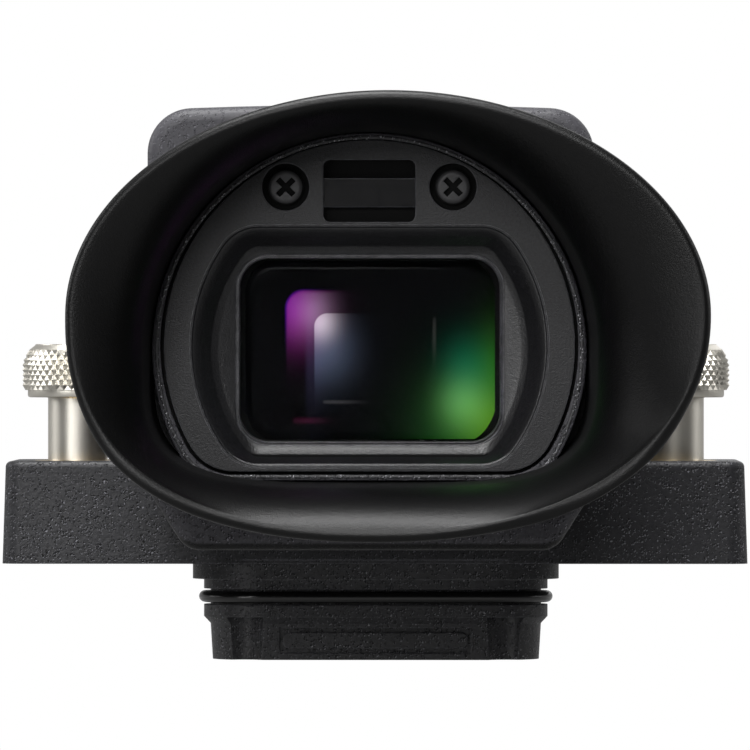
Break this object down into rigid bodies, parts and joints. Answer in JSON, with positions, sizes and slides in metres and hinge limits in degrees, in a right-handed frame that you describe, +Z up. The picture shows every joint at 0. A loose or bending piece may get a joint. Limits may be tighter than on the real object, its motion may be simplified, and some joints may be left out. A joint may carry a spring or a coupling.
{
  "type": "electronic viewfinder",
  "caption": "Tilting electronic viewfinder head with an oval rubber eyecup, on a mounting bar with captive thumb screws and a sealed plug underneath.",
  "frame": {"origin": "centre of the mounting bar's underside, on the plug's axis and in line with both thumb screws", "axes": "+Z up, away from the seat; the eyepiece faces -Y; +X to the right when looking into the eyepiece"},
  "size_m": [0.0892, 0.098, 0.0663],
  "materials": {
    "bar_metal": "black fine-textured powder coat on cast metal",
    "head_metal": "dark grey fine-textured coat",
    "screw_nickel": "warm satin nickel",
    "black_screw": "black oxide",
    "hinge_steel": "plain bright steel",
    "spring_steel": "spring wire",
    "bush_brass": "turned",
    "cup_rubber": "matte soft rubber",
    "seal_rubber": "glossy black rubber",
    "face_plastic": "fine leather grain",
    "dark_plastic": "moulded black",
    "pinion_plastic": "natural acetal",
    "sensor_plastic": "dark infrared window",
    "window_glass": "coated flat glass",
    "lens_glass": "coated optical glass",
    "display_glass": "dark display",
    "board_green": "circuit board",
    "chip_black": "moulded package",
    "cable_jacket": "thin jacket"
  },
  "bodies": {
    "base": {"mount_bracket": "bar_metal", "screw_bushes": "bush_brass", "left_screw_spring": "spring_steel", "right_screw_spring": "spring_steel", "plug_housing": "bar_metal", "plug_seal": "seal_rubber", "contact_block": "dark_plastic", "contact_pins": "bush_brass", "plug_screws": "hinge_steel", "base_board": "board_green", "tilt_yoke": "bar_metal", "yoke_screws": "black_screw", "hinge_shafts": "hinge_steel", "hinge_caps": "hinge_steel", "hinge_washers": "hinge_steel", "hinge_cable": "cable_jacket"},
    "left_screw_carrier": {"left_retaining_ring": "hinge_steel"},
    "left_thumb_screw": {"left_thumb_screw": "screw_nickel"},
    "right_screw_carrier": {"right_retaining_ring": "hinge_steel"},
    "right_thumb_screw": {"right_thumb_screw": "screw_nickel"},
    "head": {"hinge_bushes": "bush_brass", "front_casing": "head_metal", "rear_casing": "head_metal", "casing_screws": "black_screw", "eyepiece_bezel": "face_plastic", "bezel_screws": "black_screw", "eyepiece_window": "window_glass", "window_seal": "seal_rubber", "sensor_window": "sensor_plastic", "sensor_board": "board_green", "sensor_emitters": "sensor_plastic", "eyecup": "cup_rubber", "eyecup_frame": "dark_plastic", "guide_rods": "hinge_steel", "optics_frame": "dark_plastic", "display_holder": "dark_plastic", "display_panel": "display_glass", "display_seal": "seal_rubber", "driver_board": "board_green", "board_chips": "chip_black", "board_screws": "hinge_steel", "hinge_connector": "chip_black", "flex_cable": "cable_jacket", "dial_bush": "bush_brass"},
    "lens_carrier": {"lens_carrier": "dark_plastic", "eye_lens": "lens_glass", "middle_lens": "lens_glass", "front_lens": "lens_glass", "lens_spacers": "dark_plastic", "lens_retainers": "dark_plastic"},
    "diopter_dial": {"diopter_dial": "dark_plastic", "dial_shaft": "pinion_plastic", "dial_screw": "black_screw"}
  },
  "joints": [
    {"name": "head_tilt", "type": "hinge", "parent": "base", "child": "head", "pos_m": [0, 0, 0.02425], "axis": [-1, 0, 0], "range_deg": [0, 60]},
    {"name": "left_screw_slide", "type": "slide", "parent": "base", "child": "left_screw_carrier", "axis": [0, 0, -1], "range_m": [0, 0.0072], "stiffness_N_per_m": 150, "springref_m": -0.004, "deforming": ["left_screw_spring"]},
    {"name": "left_screw_turn", "type": "hinge", "parent": "left_screw_carrier", "child": "left_thumb_screw", "pos_m": [-0.036, 0, 0.02], "axis": [0, 0, -1], "continuous": true},
    {"name": "right_screw_slide", "type": "slide", "parent": "base", "child": "right_screw_carrier", "axis": [0, 0, -1], "range_m": [0, 0.0072], "stiffness_N_per_m": 150, "springref_m": -0.004, "deforming": ["right_screw_spring"]},
    {"name": "right_screw_turn", "type": "hinge", "parent": "right_screw_carrier", "child": "right_thumb_screw", "pos_m": [0.036, 0, 0.02], "axis": [0, 0, -1], "continuous": true},
    {"name": "dial_turn", "type": "hinge", "parent": "head", "child": "diopter_dial", "pos_m": [0.02575, -0.043, 0.04125], "axis": [1, 0, 0], "range_deg": [-39, 39]},
    {"name": "lens_focus", "type": "slide", "parent": "head", "child": "lens_carrier", "axis": [0, 1, 0], "range_m": [-0.0017, 0.0017]}
  ],
  "couplings": [
    {"joint": "dial_turn", "follows": "lens_focus", "rad_per_m": 400}
  ]
}
